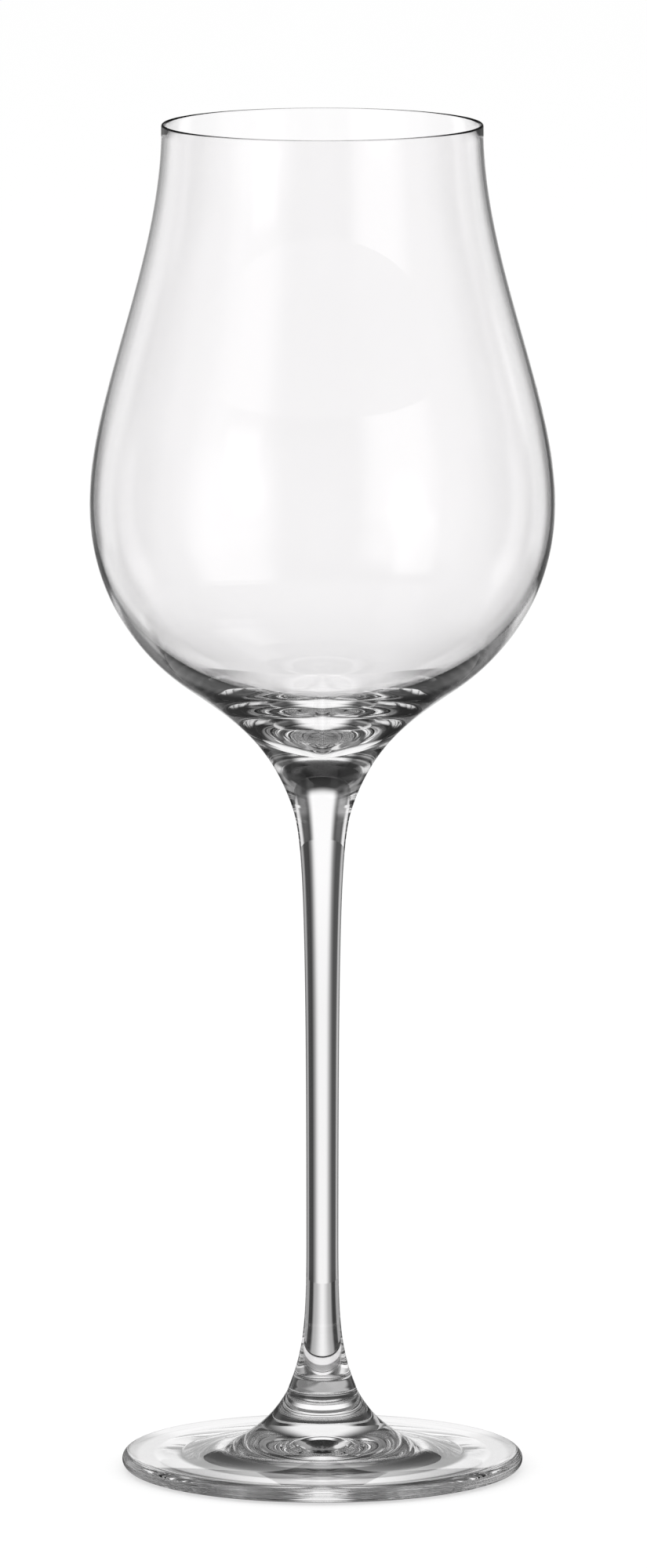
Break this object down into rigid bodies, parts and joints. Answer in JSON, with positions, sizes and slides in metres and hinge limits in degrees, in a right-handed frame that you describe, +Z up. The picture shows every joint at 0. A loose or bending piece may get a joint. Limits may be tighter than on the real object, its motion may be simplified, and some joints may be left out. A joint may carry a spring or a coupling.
{
  "type": "wine glass",
  "caption": "Clear stemmed wine glass with a tulip bowl that narrows to a thin lip, a slim stem flared at both ends and a flat round foot, for holding a drink on a table.",
  "frame": {"origin": "centre of the foot's underside, on the surface that the glass stands on", "axes": "+Z up the axis of the stem, from the foot to the mouth; X and Y are free, because the glass is turned about Z"},
  "size_m": [0.0822, 0.0822, 0.24],
  "materials": {
    "clear_glass": "clear, polished, colourless"
  },
  "bodies": {
    "root": {"bowl": "clear_glass", "stem": "clear_glass", "foot": "clear_glass"}
  },
  "joints": []
}
